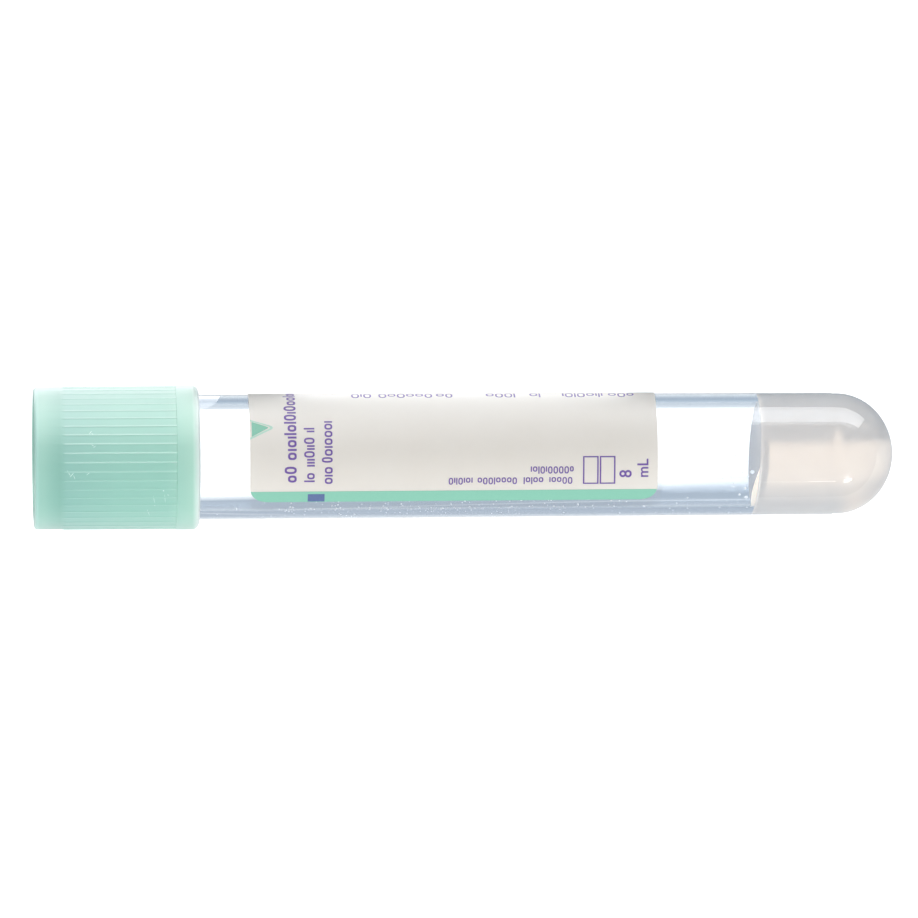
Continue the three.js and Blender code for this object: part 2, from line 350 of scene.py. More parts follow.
milky_gel, nodes, links, shader = new_finish("milky_gel")
shader.inputs["Transmission Weight"].default_value = 0.64
shader.inputs["IOR"].default_value = 1.42
where = nodes.new("ShaderNodeTexCoord")
clouds = mottling(nodes, links, 0.35, over=where)
two_tones(nodes, links, shader, clouds, seen(253, 251, 252), seen(248, 245, 246))
roughened(nodes, links, shader, clouds, 0.12, 0.17)
warm = nodes.new("ShaderNodeVolumeAbsorption")    # light that comes through it turns warm
warm.inputs["Color"].default_value = (0.97, 0.58, 0.05, 1)
warm.inputs["Density"].default_value = 34
links.new(warm.outputs["Volume"], nodes["Material Output"].inputs["Volume"])
station_of = nodes.new("ShaderNodeSeparateXYZ")    # painted glow: the round end, low on the front, emits a warm light of its own in place of the light it scatters, and the whole gel a faint cool one
links.new(where.outputs["Object"], station_of.inputs["Vector"])
round_end = ramped(nodes, links, station_of.outputs["X"], 47.5 * MM, 55.5 * MM)
painted_glow_ramp = nodes.new("ShaderNodeValToRGB")
painted_glow_ramp.color_ramp.interpolation = "EASE"
painted_glow_ramp.color_ramp.elements[0].position = 0
painted_glow_ramp.color_ramp.elements[0].color = (0.008, 0.01, 0.01, 1)
painted_glow_ramp.color_ramp.elements[1].position = 1
painted_glow_ramp.color_ramp.elements[1].color = (0, 0, 0, 1)
painted_glow_ramp.color_ramp.elements.new(0.35).color = (0.17, 0.115, 0.06, 1)
painted_glow_ramp.color_ramp.elements.new(0.6).color = (0.14, 0.10, 0.06, 1)
links.new(round_end.outputs["Result"], painted_glow_ramp.inputs["Fac"])
low_front = ramped(nodes, links, station_of.outputs["Y"], -2.5 * MM, -7 * MM)
low_front.interpolation_type = "SMOOTHSTEP"
painted_warm_glow = nodes.new("ShaderNodeMix")
painted_warm_glow.data_type = "RGBA"
painted_warm_glow.inputs["A"].default_value = (0.008, 0.01, 0.01, 1)
links.new(low_front.outputs["Result"], painted_warm_glow.inputs["Factor"])
links.new(painted_glow_ramp.outputs["Color"], painted_warm_glow.inputs["B"])
links.new(painted_warm_glow.outputs["Result"], shader.inputs["Emission Color"])
shader.inputs["Emission Strength"].default_value = 1
lets_lamps_through(nodes, links, shader)

dish = []
edge = between(GEL_TOP, BORE_AT_MOUTH, BORE_AT_HEEL) + GEL_BITE
for k in range(15):
    out = k / 14
    dish.append((GEL_TOP + GEL_DISH * (1 - out ** 2.2), edge * out))
gel_outline = (
    dish
    + [(station, between(station, BORE_AT_MOUTH, BORE_AT_HEEL) + GEL_BITE) for station in (95, 98, 101)]
    + round_bottom([size + GEL_BITE for size in BORE_DOME], 30)
)
gel_mesh = turned("gel", gel_outline, evenly(180))
for vertex in gel_mesh.vertices:
    fade = max(0, 1 - (vertex.co.x - GEL_TOP) / 4)
    vertex.co.x += (GEL_TILT[0] * vertex.co.y + GEL_TILT[1] * vertex.co.z) * min(1, fade)
gel = laid("separator_gel", gel_mesh, milky_gel)
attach(gel, "tube")
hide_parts("separator_gel")


def sheet_faces(across, rows, first=0):
    """The faces of a sheet whose points lie row after row, so many points across."""
    corners = [first + across * row + k for row in range(rows - 1) for k in range(across - 1)]
    return [(corner, corner + across, corner + across + 1, corner + 1) for corner in corners]


# a thin smear of gel on the wall above its edge, widest low on the front side
SMEAR = (    # degrees to the front, and width
    (-85, 0.5), (-75, 0.4), (-62, 0.3), (-46, 0.25), (-30, 0.15), (0, 0.1), (12, 0.2),
    (20, 0.5), (30, 0.8), (42, 1.0), (55, 0.9), (70, 0.7), (85, 0.6),
)
smear_points = []
for degrees, width in SMEAR:
    angle = math.radians(degrees)
    tilted = -GEL_TILT[0] * edge * math.sin(angle) + GEL_TILT[1] * edge * math.cos(angle)
    contact = GEL_TOP + tilted + 0.3
    for station, film in ((contact - width, 0), (contact - width / 2, 0.05), (contact, 0.12)):
        smear_points.append(around(station, between(station, BORE_AT_MOUTH, BORE_AT_HEEL) - film, angle))
smear_mesh = bpy.data.meshes.new("smear")
smear_mesh.from_pydata(smear_points, [], sheet_faces(3, len(SMEAR)))
smear_gel, nodes, links, shader = new_finish("smeared_gel")
thin = mottling(nodes, links, 1.2)
cream_and_painted_glow = two_tones(nodes, links, shader, thin, seen(255, 244, 230), seen(255, 236, 214))
# the cream tone is also the smear's emission: a painted highlight along the gel's edge
links.new(cream_and_painted_glow, shader.inputs["Emission Color"])
shader.inputs["Emission Strength"].default_value = 0.22
shader.inputs["Roughness"].default_value = 0.3
smear = laid("gel_smear", smear_mesh, smear_gel)
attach(smear, "tube")

# ---------------------------------------------------------------- droplets
# Fine spray-dried additive left as clear beads on the inside of the wall, most of them low on the front
# side and round the gel's edge. Each is a flattened bead that clings to the bore.

chance = random.Random(11)
beads = bmesh.new()


def bead(station, angle, size):
    """One bead on the bore, flattened against it and a little longer along the tube."""
    radius = between(station, BORE_AT_MOUTH, BORE_AT_HEEL) - size * 0.12
    place = Matrix.Translation(around(station, radius, angle)) @ Matrix.Rotation(angle, 4, "X")
    shape = Matrix.Diagonal((size * chance.uniform(0.9, 1.5), size, size * 0.45, 1))
    bmesh.ops.create_icosphere(beads, subdivisions=2, radius=0.5, matrix=place @ shape)


for _ in range(210):
    bead(
        chance.triangular(22, 92, 42),
        math.radians(chance.triangular(46, 86, 62)),
        chance.uniform(0.06, 0.23),
    )
LARGE_BEADS = ((91.85, 19, 0.5), (91.3, 24, 0.3), (91, 38, 0.35), (90.3, 46, 0.3), (91.2, 50, 0.4))
for station, degrees, size in LARGE_BEADS:
    bead(station, math.radians(degrees), size)
for _ in range(26):
    bead(chance.uniform(88, 91.7), math.radians(chance.uniform(-10, 80)), chance.uniform(0.05, 0.2))
beads_mesh = bpy.data.meshes.new("beads")
beads.to_mesh(beads_mesh)
beads.free()

bead_clear, nodes, links, shader = new_finish("clear_bead")
shader.inputs["Roughness"].default_value = 0.12
speck = mottling(nodes, links, 3)
white_and_painted_glint = two_tones(nodes, links, shader, speck, seen(255, 255, 255), seen(248, 250, 255))
links.new(white_and_painted_glint, shader.inputs["Emission Color"])
shader.inputs["Emission Strength"].default_value = 0.3    # a painted glint: each bead glows a little with its own white
beads_piece = laid("additive_beads", beads_mesh, bead_clear, 60)
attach(beads_piece, "tube")

# ---------------------------------------------------------------- paper label
# Coated white paper with rounded corners, glued round three quarters of the tube, so that a clear window
# stays open towards the front. The sheet is drawn flat and wrapped.

LABEL_START = 27.5
LABEL_LENGTH = 52.2
LABEL_FRONT = 45.5       # degrees, its front long edge
LABEL_WRAP = 270         # degrees that it covers
LABEL_CORNER = 2.2
LABEL_SKEW = 0.6         # its short edge is cut back this far where it passes under the tube
PAPER = (0.05, 0.15)     # inner and outer face, above the tube
LABEL_RADIUS = 8.15      # at which its width is measured


def paper_radius(station, height):
    return between(station, MOUTH_RADIUS, HEEL_RADIUS) + height


def cut_back(across):
    """How far the sheet's short edges are cut back for its round corners, at a distance across it."""
    width = math.radians(LABEL_WRAP) * LABEL_RADIUS
    short = max(LABEL_CORNER - min(across, width - across), 0)
    return LABEL_CORNER - math.sqrt(max(LABEL_CORNER ** 2 - short ** 2, 0))


def label_columns():
    """Distances across the sheet: close together at the corners, then every degree and a half."""
    width = math.radians(LABEL_WRAP) * LABEL_RADIUS
    corner = [LABEL_CORNER * (1 - math.cos(math.pi / 2 * k / 10)) for k in range(10)]
    plain = [LABEL_CORNER + (width - 2 * LABEL_CORNER) * k / 180 for k in range(181)]
    return corner + plain + [width - across for across in reversed(corner)]


label_vertices, label_faces = [], []
LABEL_CELLS = 20
columns = label_columns()
for across in columns:
    angle = math.radians(LABEL_FRONT) - across / LABEL_RADIUS
    inset = cut_back(across)
    for height in PAPER:
        for k in range(LABEL_CELLS + 1):
            start = LABEL_START + inset + LABEL_SKEW * max(0, -math.cos(angle))
            station = start + (LABEL_START + LABEL_LENGTH - inset - start) * k / LABEL_CELLS
            label_vertices.append(around(station, paper_radius(station, height), angle))
row = LABEL_CELLS + 1
for i in range(len(columns) - 1):
    this, after = i * 2 * row, (i + 1) * 2 * row
    for k in range(LABEL_CELLS):
        for face in (0, row):
            a, b = this + face + k, after + face + k
            label_faces.append((a, a + 1, b + 1, b))
    for k in (0, LABEL_CELLS):
        label_faces.append((this + k, this + row + k, after + row + k, after + k))
for this in (0, (len(columns) - 1) * 2 * row):
    for k in range(LABEL_CELLS):
        label_faces.append((this + k, this + k + 1, this + row + k + 1, this + row + k))
label_mesh = bpy.data.meshes.new("label")
label_mesh.from_pydata(label_vertices, [], label_faces)
facing_out(label_mesh)


def grained(nodes, links, shader, height, strength, depth):
    """Gives the surface a fine relief, its depth in millimetres."""
    relief = nodes.new("ShaderNodeBump")
    relief.inputs["Strength"].default_value = strength
    relief.inputs["Distance"].default_value = depth * MM
    links.new(height, relief.inputs["Height"])
    links.new(relief.outputs["Normal"], shader.inputs["Normal"])


paper, nodes, links, shader = new_finish("coated_paper")
shader.inputs["Coat Weight"].default_value = 1
shader.inputs["Coat Roughness"].default_value = 0.5
shader.inputs["Coat IOR"].default_value = 1.8
shader.inputs["Subsurface Weight"].default_value = 0.8
shader.inputs["Subsurface Radius"].default_value = (1, 1, 1)
shader.inputs["Subsurface Scale"].default_value = 0.4 * MM
where = nodes.new("ShaderNodeTexCoord")
fibre = mottling(nodes, links, 6, 4, where)
cloud = mottling(nodes, links, 0.12, 2, where)
two_tones(nodes, links, shader, cloud, seen(237, 227, 215), seen(231, 220, 207))
roughened(nodes, links, shader, fibre, 0.42, 0.56)
grained(nodes, links, shader, fibre, 0.12, 0.01)
label = laid("paper_label", label_mesh, paper)
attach(label, "tube")
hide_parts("label")

# ---------------------------------------------------------------- print on the label
# Three inks: green for the stripe along the front edge and the fill mark, purple for the wording, which
# is plain strokes here, and navy for the small register block. Each ink is a film just proud of the paper.

INK_RISE = 0.012
INK_ROOT = 0.02          # how far the film reaches into the paper
WRAP_STEP = 0.35         # millimetres between the cuts that let a flat shape follow the tube


def arc(degrees_to_front):
    """Distance round the label for an angle from straight up towards the front."""
    return math.radians(degrees_to_front) * LABEL_RADIUS


def flat_shape(ink, points):
    """A filled outline on the flat sheet, of (station, distance round)."""
    ink.faces.new([ink.verts.new((x, y, 0)) for x, y in points])


def bar(ink, x0, x1, y0, y1):
    flat_shape(ink, [(x0, y0), (x1, y0), (x1, y1), (x0, y1)])


def loop(ink, x0, x1, y0, y1, stroke, squareness=2.6, steps=20):
    """A rounded loop of one stroke's width."""
    rims = []
    for inset in (0, stroke):
        rim = []
        for k in range(steps):
            turn = 2 * math.pi * k / steps
            across, up = math.cos(turn), math.sin(turn)
            power = 2 / squareness
            px = (x0 + x1) / 2 + (abs(x1 - x0) / 2 - inset) * math.copysign(abs(across) ** power, across)
            py = (y0 + y1) / 2 + (abs(y1 - y0) / 2 - inset) * math.copysign(abs(up) ** power, up)
            rim.append(ink.verts.new((px, py, 0)))
        rims.append(rim)
    for k in range(steps):
        n = (k + 1) % steps
        ink.faces.new((rims[0][k], rims[0][n], rims[1][n], rims[1][k]))


def wording_round(ink, x0, x1, degrees_from, degrees_to, stroke, seed):
    """A word that runs round the tube, as a row of loops and strokes between two stations."""
    pick = random.Random(seed)
    at, end = arc(degrees_from), arc(degrees_to)
    tall = x1 - x0
    while at < end - stroke:
        kind = pick.choice("loop loop stroke half loop".split())
        width = min(tall * 0.62 if kind == "loop" else stroke, end - at)
        top = x0 + (tall * 0.28 if kind == "half" or pick.random() < 0.45 else 0)
        if kind == "loop" and width > 2.5 * stroke:
            loop(ink, top, x1, at, at + width, stroke)
        else:
            bar(ink, top, x1, at, at + min(width, stroke))
            width = min(width, stroke)
        at += width + stroke * 0.75


def wording_along(ink, x0, x1, y0, y1, stroke, seed):
    """A word that runs along the tube, as a row of loops and strokes."""
    pick = random.Random(seed)
    at, tall = x0, y1 - y0
    while at < x1 - stroke:
        kind = pick.choice("loop loop stroke half loop".split())
        width = min(tall * 0.6 if kind == "loop" else stroke, x1 - at)
        foot = y1 - (tall * 0.28 if kind == "half" or pick.random() < 0.4 else 0)
        if kind == "loop" and width > 2.5 * stroke:
            loop(ink, at, at + width, y0, foot, stroke)
        else:
            bar(ink, at, at + min(width, stroke), y0, foot)
            width = min(width, stroke)
        at += width + stroke * 0.8


def lettered(ink, words, x_foot, degrees_start, size):
    """Plain letters that read round the tube, with their heads towards the cap."""
    curve = bpy.data.curves.new("letters", "FONT")
    curve.body = words
    curve.size = size
    curve.resolution_u = 5
    curve.offset = size * 0.012
    holder = bpy.data.objects.new("letters", curve)
    letters = bpy.data.meshes.new_from_object(holder)
    start = arc(degrees_start)
    for vertex in letters.vertices:
        across, up = vertex.co.x, vertex.co.y
        vertex.co = (x_foot - up, start - across, 0)
    ink.from_mesh(letters)
    bpy.data.objects.remove(holder)
    bpy.data.meshes.remove(letters)
    bpy.data.curves.remove(curve)


def printed(name, ink, finish, rise=INK_RISE):
    """Cuts the flat shapes so that they can bend, thickens them to a film and wraps them on the label."""
    for k in range(-100, 20):
        cut_at = Vector((0, k * WRAP_STEP, 0))
        geometry = ink.verts[:] + ink.edges[:] + ink.faces[:]
        bmesh.ops.bisect_plane(ink, geom=geometry, plane_co=cut_at, plane_no=(0, 1, 0))
    bmesh.ops.recalc_face_normals(ink, faces=ink.faces)
    grown = bmesh.ops.extrude_face_region(ink, geom=ink.faces[:])
    for item in grown["geom"]:
        if isinstance(item, bmesh.types.BMVert):
            item.co.z = 1
    for vertex in ink.verts:
        station, across, top = vertex.co
        height = PAPER[1] + (rise if top > 0.5 else -INK_ROOT)
        vertex.co = around(station, paper_radius(station, height), across / LABEL_RADIUS)
    bmesh.ops.recalc_face_normals(ink, faces=ink.faces)
    mesh = bpy.data.meshes.new(name)
    ink.to_mesh(mesh)
    ink.free()
    piece = laid(name, mesh, finish)
    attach(piece, "tube")


def ink_finish(name, colour, thin):
    """Printing ink: even, with a little less of it here and there."""
    finish, nodes, links, shader = new_finish(name)
    where = nodes.new("ShaderNodeTexCoord")
    two_tones(nodes, links, shader, mottling(nodes, links, 4, 3, where), colour, thin)
    shader.inputs["Roughness"].default_value = 0.45
    return finish


green = bmesh.new()
stripe_width = arc(LABEL_FRONT) - arc(33.4)
near, far = [], []
for k in range(13):
    across = stripe_width * k / 12
    inset = cut_back(across) + 0.02
    near.append((LABEL_START + inset, arc(LABEL_FRONT) - across))
    far.append((LABEL_START + LABEL_LENGTH - inset, arc(LABEL_FRONT) - across))
flat_shape(green, near + far[::-1])
flat_shape(green, [
    (LABEL_START + 0.25, arc(-33.6)), (LABEL_START + 2.15, arc(-28.6)), (LABEL_START + 2.4, arc(-27.4)),
    (LABEL_START + 2.15, arc(-26.2)), (LABEL_START + 0.25, arc(-18.6)),
])
printed("green_print", green, ink_finish("green_ink", seen(128, 192, 168), seen(138, 198, 176)))

pale = bmesh.new()
rim = [
    (0.02, -35.8), (2.45, -30.0), (2.85, -28.8), (2.95, -27.4), (2.85, -26.0), (2.45, -24.6), (0.02, -15.9),
]
core = [
    (0.02, -34.4), (2.2, -29.4), (2.5, -28.4), (2.58, -27.4), (2.5, -26.4), (2.2, -25.4), (0.02, -17.6),
]
for k in range(len(rim) - 1):
    flat_shape(pale, [(LABEL_START + x, arc(turn)) for x, turn in (rim[k], rim[k + 1], core[k + 1], core[k])])
printed("fill_mark_edge", pale, ink_finish("pale_green_ink", seen(180, 216, 198), seen(190, 222, 206)))

navy = bmesh.new()
bar(navy, 34.9, 37.05, arc(36.2), arc(44.9))
printed("register_block", navy, ink_finish("navy_ink", seen(84, 100, 148), seen(98, 118, 162)), 2 * INK_RISE)

purple = bmesh.new()
WIDE, PLAIN, FINE = 0.27, 0.22, 0.15    # the strokes' widths
wording_round(purple, 31.9, 33.45, 9, 26.4, WIDE, 3)
wording_round(purple, 31.9, 33.45, -104, 5, WIDE, 4)
wording_round(purple, 34.4, 35.75, 15, 26, PLAIN, 5)
wording_round(purple, 34.4, 35.75, -17.5, 10.5, PLAIN, 6)
wording_round(purple, 34.4, 35.75, -27, -21, PLAIN, 7)
wording_round(purple, 36.65, 38.05, 9.5, 26.4, PLAIN, 8)
wording_round(purple, 36.65, 38.05, -34, 5.5, PLAIN, 9)
for x0, x1, seed in ((52.9, 56.0, 21), (56.6, 61.9, 22), (62.5, 65.2, 23), (65.8, 68.9, 24)):
    wording_along(purple, x0, x1, arc(20.4), arc(27.2), FINE, seed)
wording_along(purple, 63.4, 68.9, arc(10.2), arc(17.0), FINE, 25)
for cell in range(2):
    left = 70.1 + 2.15 * cell
    for x0, x1, y0, y1 in (
        (left, left + 2.0, arc(1), arc(2.2)), (left, left + 2.0, arc(26.2), arc(27.4)),
        (left, left + 0.18, arc(2.2), arc(26.2)), (left + 1.82, left + 2.0, arc(2.2), arc(26.2)),
    ):
        bar(purple, x0, x1, y0, y1)
lettered(purple, "8", 76.3, 21.5, 2.2)
lettered(purple, "mL", 78.45, 21.5, 2.0)
for x0, x1, seed in (
    (40.7, 43.6, 31), (44.2, 51.1, 32), (51.6, 53.7, 33), (58.0, 62.1, 34),
    (63.6, 65.1, 35), (67.8, 73.2, 36), (73.7, 77.0, 37),
):
    wording_along(purple, x0, x1, arc(-80), arc(-68), 0.2, seed)
for line in range(4):
    bar(purple, 42, 74, arc(-118 - 18 * line), arc(-118.9 - 18 * line))
    wording_along(purple, 35.5, 40.5, arc(-118 - 18 * line), arc(-111.5 - 18 * line), FINE, 41 + line)
printed("purple_print", purple, ink_finish("purple_ink", seen(98, 66, 148), seen(122, 94, 166)))

# ---------------------------------------------------------------- rubber stopper
# Moulded butyl rubber: a head that snaps under the shield's bead, a neck through its ledge, a flange on
# the tube's lip, and a hollow plug with two sealing rings pressed into the bore. A dimple guides the needle.

stopper_outline = [(5.4, 0.0), (5.35, 1.0), (5.2, 2.0), (4.85, 3.0), (4.45, 3.45)] + rounded([
    (4.3, 3.75, 0), (4.3, 7.5, 0.4), (7.5, 7.5, 0.15), (7.5, 5.6, 0.1), (8.7, 5.6, 0.1), (8.7, 8.0, 0.15),
    (10.3, 8.0, 0.15), (10.3, 6.8, 0.1), (12.5, 6.8, 0), (12.8, 6.88, 0.1), (13.2, 6.88, 0.1), (13.5, 6.8, 0),
    (14.9, 6.8, 0), (15.2, 6.88, 0.1), (15.6, 6.88, 0.1), (15.9, 6.8, 0), (16.8, 6.3, 0.3), (17.4, 5.7, 0.2),
    (17.4, 3.7, 0.2), (13.7, 3.2, 0.2), (13.2, 2.5, 0.2),
]) + [(13.2, 0.0)]
stopper_mesh = turned("stopper", stopper_outline, evenly(144))

rubber, nodes, links, shader = new_finish("butyl_rubber")
where = nodes.new("ShaderNodeTexCoord")
bloom = mottling(nodes, links, 0.8, 5, where)
two_tones(nodes, links, shader, bloom, seen(104, 168, 158), seen(124, 182, 172))
roughened(nodes, links, shader, bloom, 0.6, 0.8)
grained(nodes, links, shader, bloom, 0.3, 0.03)
stopper = laid("rubber_stopper", stopper_mesh, rubber)
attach(stopper, "closure")
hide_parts("rubber_stopper")

# ---------------------------------------------------------------- closure shield
# The outer cap: moulded translucent mint plastic, open at the top so that a needle can reach the stopper,
# with fine grip ribs between a plain collar and a plain band. It holds the stopper by an inner ledge.

RIBS = 48
RIB_PITCH = 2 * math.pi / RIBS
RIB_SPAN = (3.4, 18.2)
RIB_HEIGHT = 0.06
RIB_HALF = 0.17           # half its width at the foot
COLLAR_RADIUS = 9.12
BAND_RADIUS = 9.25
SHIELD_HEIGHT = 21.2


def rib_angles():
    """Columns round the shield, close together where a rib stands."""
    steps = (-0.3, -0.142, -0.115, -0.085, -0.05, -0.017, 0.017, 0.05, 0.085, 0.115, 0.142, 0.3)
    return [RIB_PITCH * (rib + 0.5 + step) for rib in range(RIBS) for step in steps]


def rib_relief(station, radius, angle):
    """How far the surface stands out for the grip ribs, whose upper ends are ramped."""
    if radius < COLLAR_RADIUS - 0.01 or not RIB_SPAN[0] < station < RIB_SPAN[1] - 0.01:
        return 0
    from_rib = (angle / RIB_PITCH) % 1 - 0.5
    aside = abs(from_rib * RIB_PITCH * COLLAR_RADIUS) / RIB_HALF
    if aside >= 1:
        return 0
    ramp = min(1, (station - RIB_SPAN[0]) / 0.5)
    return RIB_HEIGHT * ramp * (0.5 + 0.5 * math.cos(math.pi * aside))


rib_rows = [(s, COLLAR_RADIUS, 0) for s in (3.39, 3.55, 3.73, 3.91, 6, 9, 12, 15, 17.9)]
shield_outline = rounded(
    [(0, 8.05, 0.08), (0, COLLAR_RADIUS, 0.45)]
    + rib_rows
    + [
        (18.14, COLLAR_RADIUS, 0), (18.2, BAND_RADIUS, 0.03), (20.5, BAND_RADIUS, 0.4),
        (20.95, 8.95, 0.3), (SHIELD_HEIGHT, 8.4, 0.12), (20.8, 8.3, 0.1),
        (8.6, 8.3, 0.2), (8.6, 5.7, 0.15), (7.6, 5.7, 0.15), (7.6, 7.8, 0.2),
        (4.2, 7.8, 0.1), (3.8, 7.6, 0.15), (3.4, 7.8, 0.1), (0.5, 7.8, 0.2),
    ]
)
shield_mesh = turned("shield", shield_outline, rib_angles(), rib_relief)
crest_wear_and_highlight = shield_mesh.attributes.new("crest_wear_and_highlight", "FLOAT", "POINT")    # the wear along the top of each rib, with a painted highlight that is strongest on the upper back side
for vertex in shield_mesh.vertices:
    radius, angle = math.hypot(vertex.co.y, vertex.co.z), math.atan2(-vertex.co.y, vertex.co.z)
    swell = rib_relief(vertex.co.x, COLLAR_RADIUS, angle)
    # painted highlight: the crests are paler towards the upper back side, where the light falls; a little
    # wear is even all round
    wear_and_highlight = 0.12 + 0.88 * (0.5 + 0.5 * math.cos(angle + math.radians(20))) ** 6
    crest_wear_and_highlight.data[vertex.index].value = wear_and_highlight * swell / RIB_HEIGHT if radius > COLLAR_RADIUS - 0.01 else 0

SCUFFS = (    # station, degrees to the front, turn from the axis, length, width
    (4.3, 12, 60, 0.9, 0.09), (4.7, 13.5, -50, 0.9, 0.09), (5.0, 15.5, 70, 0.6, 0.08),
    (5.9, 11.5, 3, 1.8, 0.08), (6.8, 12.5, -40, 0.7, 0.08), (7.1, -21, -50, 0.6, 0.09),
    (7.4, -19.5, 40, 0.5, 0.08), (7.3, -10.5, 35, 0.6, 0.09), (7.6, -9, -40, 0.4, 0.08),
    (16.4, 27.6, 0, 0.2, 0.2), (17.0, 31.6, 20, 0.25, 0.12), (15.3, 41.8, 0, 0.2, 0.16),
    (14.5, 50, 75, 1.6, 0.06), (15.2, 36, 80, 1.4, 0.06), (16.6, 35, 85, 2.0, 0.06),
)


def scuff_group():
    """One short scratch in the surface: a mask that is 1 on its line and fades at its ends and sides."""
    group, nodes, links, given, result = group_of(
        "scuff",
        [("Middle", "NodeSocketVector", (0, 0, 0)), ("Along", "NodeSocketVector", (1, 0, 0)),
         ("Length", "NodeSocketFloat", MM), ("Width", "NodeSocketFloat", 0.1 * MM)],
        [("Mask", "NodeSocketFloat")],
    )
    where = nodes.new("ShaderNodeTexCoord")
    offset = nodes.new("ShaderNodeVectorMath")
    offset.operation = "SUBTRACT"
    links.new(where.outputs["Object"], offset.inputs[0])
    links.new(given.outputs["Middle"], offset.inputs[1])
    on_line = nodes.new("ShaderNodeVectorMath")
    on_line.operation = "PROJECT"
    links.new(offset.outputs["Vector"], on_line.inputs[0])
    links.new(given.outputs["Along"], on_line.inputs[1])
    aside = nodes.new("ShaderNodeVectorMath")
    aside.operation = "SUBTRACT"
    links.new(offset.outputs["Vector"], aside.inputs[0])
    links.new(on_line.outputs["Vector"], aside.inputs[1])
    shares = []
    for vector, reach in ((on_line, "Length"), (aside, "Width")):
        far = nodes.new("ShaderNodeVectorMath")
        far.operation = "LENGTH"
        links.new(vector.outputs["Vector"], far.inputs[0])
        share = nodes.new("ShaderNodeMath")
        share.operation = "DIVIDE"
        links.new(far.outputs["Value"], share.inputs[0])
        links.new(given.outputs[reach], share.inputs[1])
        shares.append(ramped(nodes, links, share.outputs["Value"], 0.5, 0.25).outputs["Result"])
    both = nodes.new("ShaderNodeMath")
    both.operation = "MULTIPLY"
    links.new(shares[0], both.inputs[0])
    links.new(shares[1], both.inputs[1])
    links.new(both.outputs["Value"], result.inputs["Mask"])
    return group


one_scuff = scuff_group()
mint, nodes, links, shader = new_finish("mint_plastic")
where = nodes.new("ShaderNodeTexCoord")
station_of = nodes.new("ShaderNodeSeparateXYZ")
links.new(where.outputs["Object"], station_of.inputs["Vector"])
# painted shade: darker and bluer along the cap where the stopper's head lies behind the wall; painted
# highlights: paler at the rounded top edge and at the skirt's end
painted_shade_and_rim_highlights = nodes.new("ShaderNodeValToRGB")
painted_shade_and_rim_highlights.color_ramp.elements[0].position = 0
painted_shade_and_rim_highlights.color_ramp.elements[0].color = seen(150, 204, 187)
painted_shade_and_rim_highlights.color_ramp.elements[1].position = 1
painted_shade_and_rim_highlights.color_ramp.elements[1].color = seen(226, 240, 234)
for place, colour in (
    (0.018, seen(164, 212, 200)), (0.035, seen(150, 204, 187)), (0.06, seen(148, 202, 185)),
    (0.10, seen(137, 195, 178)), (0.155, seen(125, 186, 169)), (0.20, seen(134, 192, 178)),
    (0.5, seen(140, 199, 182)), (0.8, seen(142, 201, 183)), (0.955, seen(162, 211, 192)),
):
    painted_shade_and_rim_highlights.color_ramp.elements.new(place).color = colour
cap_top = lying_place().translation.x
along_cap = ramped(nodes, links, station_of.outputs["X"], cap_top, cap_top + SHIELD_HEIGHT * MM)
links.new(along_cap.outputs["Result"], painted_shade_and_rim_highlights.inputs["Fac"])
crest_wear_and_highlight_node = nodes.new("ShaderNodeAttribute")
crest_wear_and_highlight_node.attribute_name = "crest_wear_and_highlight"
crest_wear_and_highlight_share = ramped(nodes, links, crest_wear_and_highlight_node.outputs["Fac"], 0.25, 1)
crest_wear_and_highlight_share.inputs["To Max"].default_value = 0.3
paler = nodes.new("ShaderNodeMix")
paler.data_type = "RGBA"
paler.inputs["B"].default_value = seen(236, 248, 243)
links.new(crest_wear_and_highlight_share.outputs["Result"], paler.inputs["Factor"])
links.new(painted_shade_and_rim_highlights.outputs["Color"], paler.inputs["A"])
wear_shade_and_highlight_colour = paler.outputs["Result"]
for station, degrees, turn, length, width in SCUFFS:
    angle, turn = math.radians(degrees), math.radians(turn)
    scuffed = nodes.new("ShaderNodeGroup")
    scuffed.node_tree = one_scuff
    scuffed.inputs["Middle"].default_value = lying_place() @ (around(station, COLLAR_RADIUS, angle) * MM)
    round_it = Vector((0, -math.cos(angle), -math.sin(angle)))
    along = Vector((math.cos(turn), 0, 0)) + round_it * math.sin(turn)
    scuffed.inputs["Along"].default_value = lying_place().to_3x3() @ along
    scuffed.inputs["Length"].default_value = length * MM
    scuffed.inputs["Width"].default_value = width * MM
    scratch = nodes.new("ShaderNodeMix")
    scratch.data_type = "RGBA"
    scratch.inputs["B"].default_value = seen(222, 242, 234)
    links.new(scuffed.outputs["Mask"], scratch.inputs["Factor"])
    links.new(wear_shade_and_highlight_colour, scratch.inputs["A"])
    wear_shade_and_highlight_colour = scratch.outputs["Result"]
links.new(wear_shade_and_highlight_colour, shader.inputs["Base Color"])
streaks = nodes.new("ShaderNodeGroup")
streaks.node_tree = streaks_group
streaks.inputs["Streaks per mm"].default_value = 2.2
streaks.inputs["Stretch"].default_value = 0.6
roughened(nodes, links, shader, streaks.outputs["Mask"], 0.36, 0.5)
grained(nodes, links, shader, streaks.outputs["Height"], 0.15, 0.02)
shader.inputs["Coat Weight"].default_value = 1
shader.inputs["Coat Roughness"].default_value = 0.5
shader.inputs["Coat IOR"].default_value = 2.1
shader.inputs["Sheen Weight"].default_value = 0.3
shader.inputs["Sheen Roughness"].default_value = 0.4
shader.inputs["Subsurface Weight"].default_value = 0.35
shader.inputs["Subsurface Radius"].default_value = (0.8, 1.1, 1.0)
shader.inputs["Subsurface Scale"].default_value = 1 * MM
shield = laid("closure_shield", shield_mesh, mint, 40)
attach(shield, "closure")
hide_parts("closure_shield")

# ---------------------------------------------------------------- white table, lamps and camera
# A sheet of plain white glass with a lit panel far under it, in a soft tent: low softboxes behind, narrow
# strips in front and one lamp overhead. The camera looks straight down from far off, towards the cap's end.

FLOOR_LEVEL = -0.1 * MM
place = lying_place()

